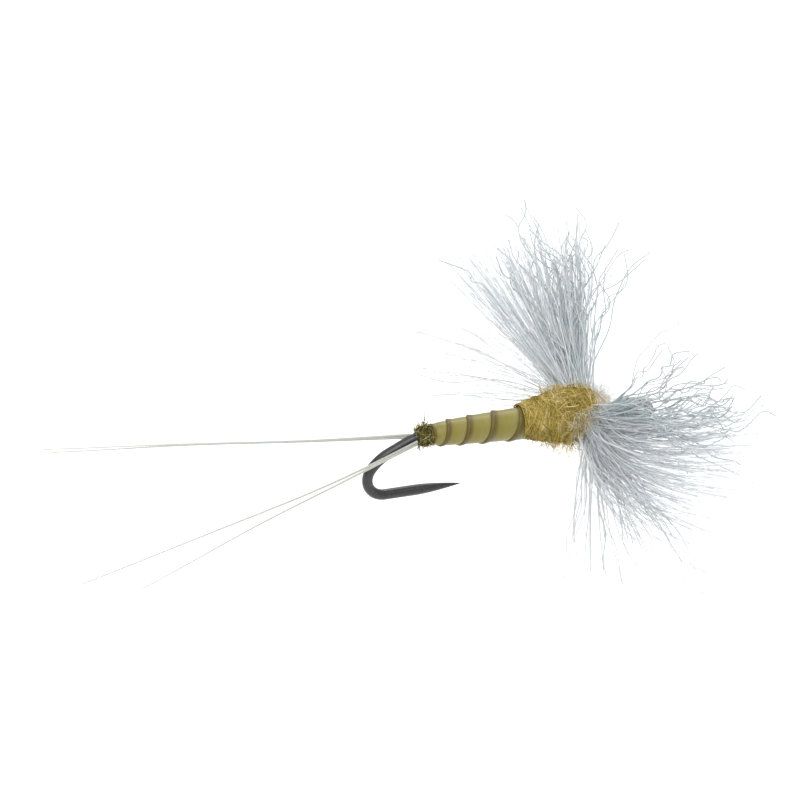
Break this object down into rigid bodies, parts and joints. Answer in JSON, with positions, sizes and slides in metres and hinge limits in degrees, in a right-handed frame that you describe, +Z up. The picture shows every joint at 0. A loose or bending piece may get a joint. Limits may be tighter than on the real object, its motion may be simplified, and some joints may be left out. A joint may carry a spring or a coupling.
{
  "type": "dry fly",
  "caption": "Spent-wing mayfly dry fly on a barbless hook: split tails, banded quill abdomen, spun-fur thorax and paired pale yarn-and-down wings.",
  "frame": {"origin": "centre of the hole in the hook eye", "axes": "+X forward along the shank and out through the front of the eye, +Z up along the eye's hole and away from the hook point, +Y to the far wing"},
  "size_m": [0.0347, 0.0264, 0.0125],
  "materials": {
    "hook_wire": "satin black, hard enamel over steel wire",
    "tying_thread": "fine waxed olive thread",
    "dark_thread": "fine waxed brown-olive thread",
    "dark_dubbing": "rough olive-brown spun fur",
    "tail_fibre": "translucent pale grey, smooth",
    "underbody_thread": "flat wound olive floss",
    "biot": "satin translucent quill, pale olive with a dark rear edge",
    "gold_dubbing": "golden-olive spun fur, spiky in front",
    "cream_dubbing": "pale tan spun fur",
    "clear_cement": "clear varnish, gloss",
    "wing_yarn": "crinkled grey synthetic yarn with a faint blue-green sheen",
    "wing_down": "soft pale lilac-grey down",
    "wing_barb": "fine pale grey barbs"
  },
  "bodies": {
    "hook_and_body": {"hook": "hook_wire", "shank_thread_base": "tying_thread", "tail_tie_in_wraps": "dark_thread", "tail_ball": "dark_dubbing", "abdomen_underbody": "underbody_thread", "abdomen_biot_wrap": "biot", "biot_tie_off_wraps": "tying_thread", "thorax_dubbing": "gold_dubbing", "wing_figure_eight_wraps": "tying_thread", "front_dubbing": "cream_dubbing", "head_whip_finish": "tying_thread", "head_cement": "clear_cement"},
    "far_wing": {"far_wing_yarn": "wing_yarn", "far_wing_down": "wing_down", "far_wing_long_barbs": "wing_barb"},
    "near_wing": {"near_wing_yarn": "wing_yarn", "near_wing_down": "wing_down", "near_wing_long_barbs": "wing_barb"},
    "tails": {"far_tail_fibre_upper": "tail_fibre", "far_tail_fibre_lower": "tail_fibre", "near_tail_fibre_upper": "tail_fibre", "near_tail_fibre_lower": "tail_fibre"}
  },
  "joints": [
    {"name": "far_wing_flex", "type": "hinge", "parent": "hook_and_body", "child": "far_wing", "pos_m": [-0.0026, 0, 0], "axis": [1, 0, 0], "range_deg": [-15, 45], "stiffness_Nm_per_rad": 0.00002},
    {"name": "near_wing_flex", "type": "hinge", "parent": "hook_and_body", "child": "near_wing", "pos_m": [-0.0026, 0, 0], "axis": [-1, 0, 0], "range_deg": [-15, 45], "stiffness_Nm_per_rad": 0.00002},
    {"name": "tail_flex", "type": "hinge", "parent": "hook_and_body", "child": "tails", "pos_m": [-0.01116, 0, -0.0001], "axis": [0, 1, 0], "range_deg": [-15, 25], "stiffness_Nm_per_rad": 0.000012}
  ]
}
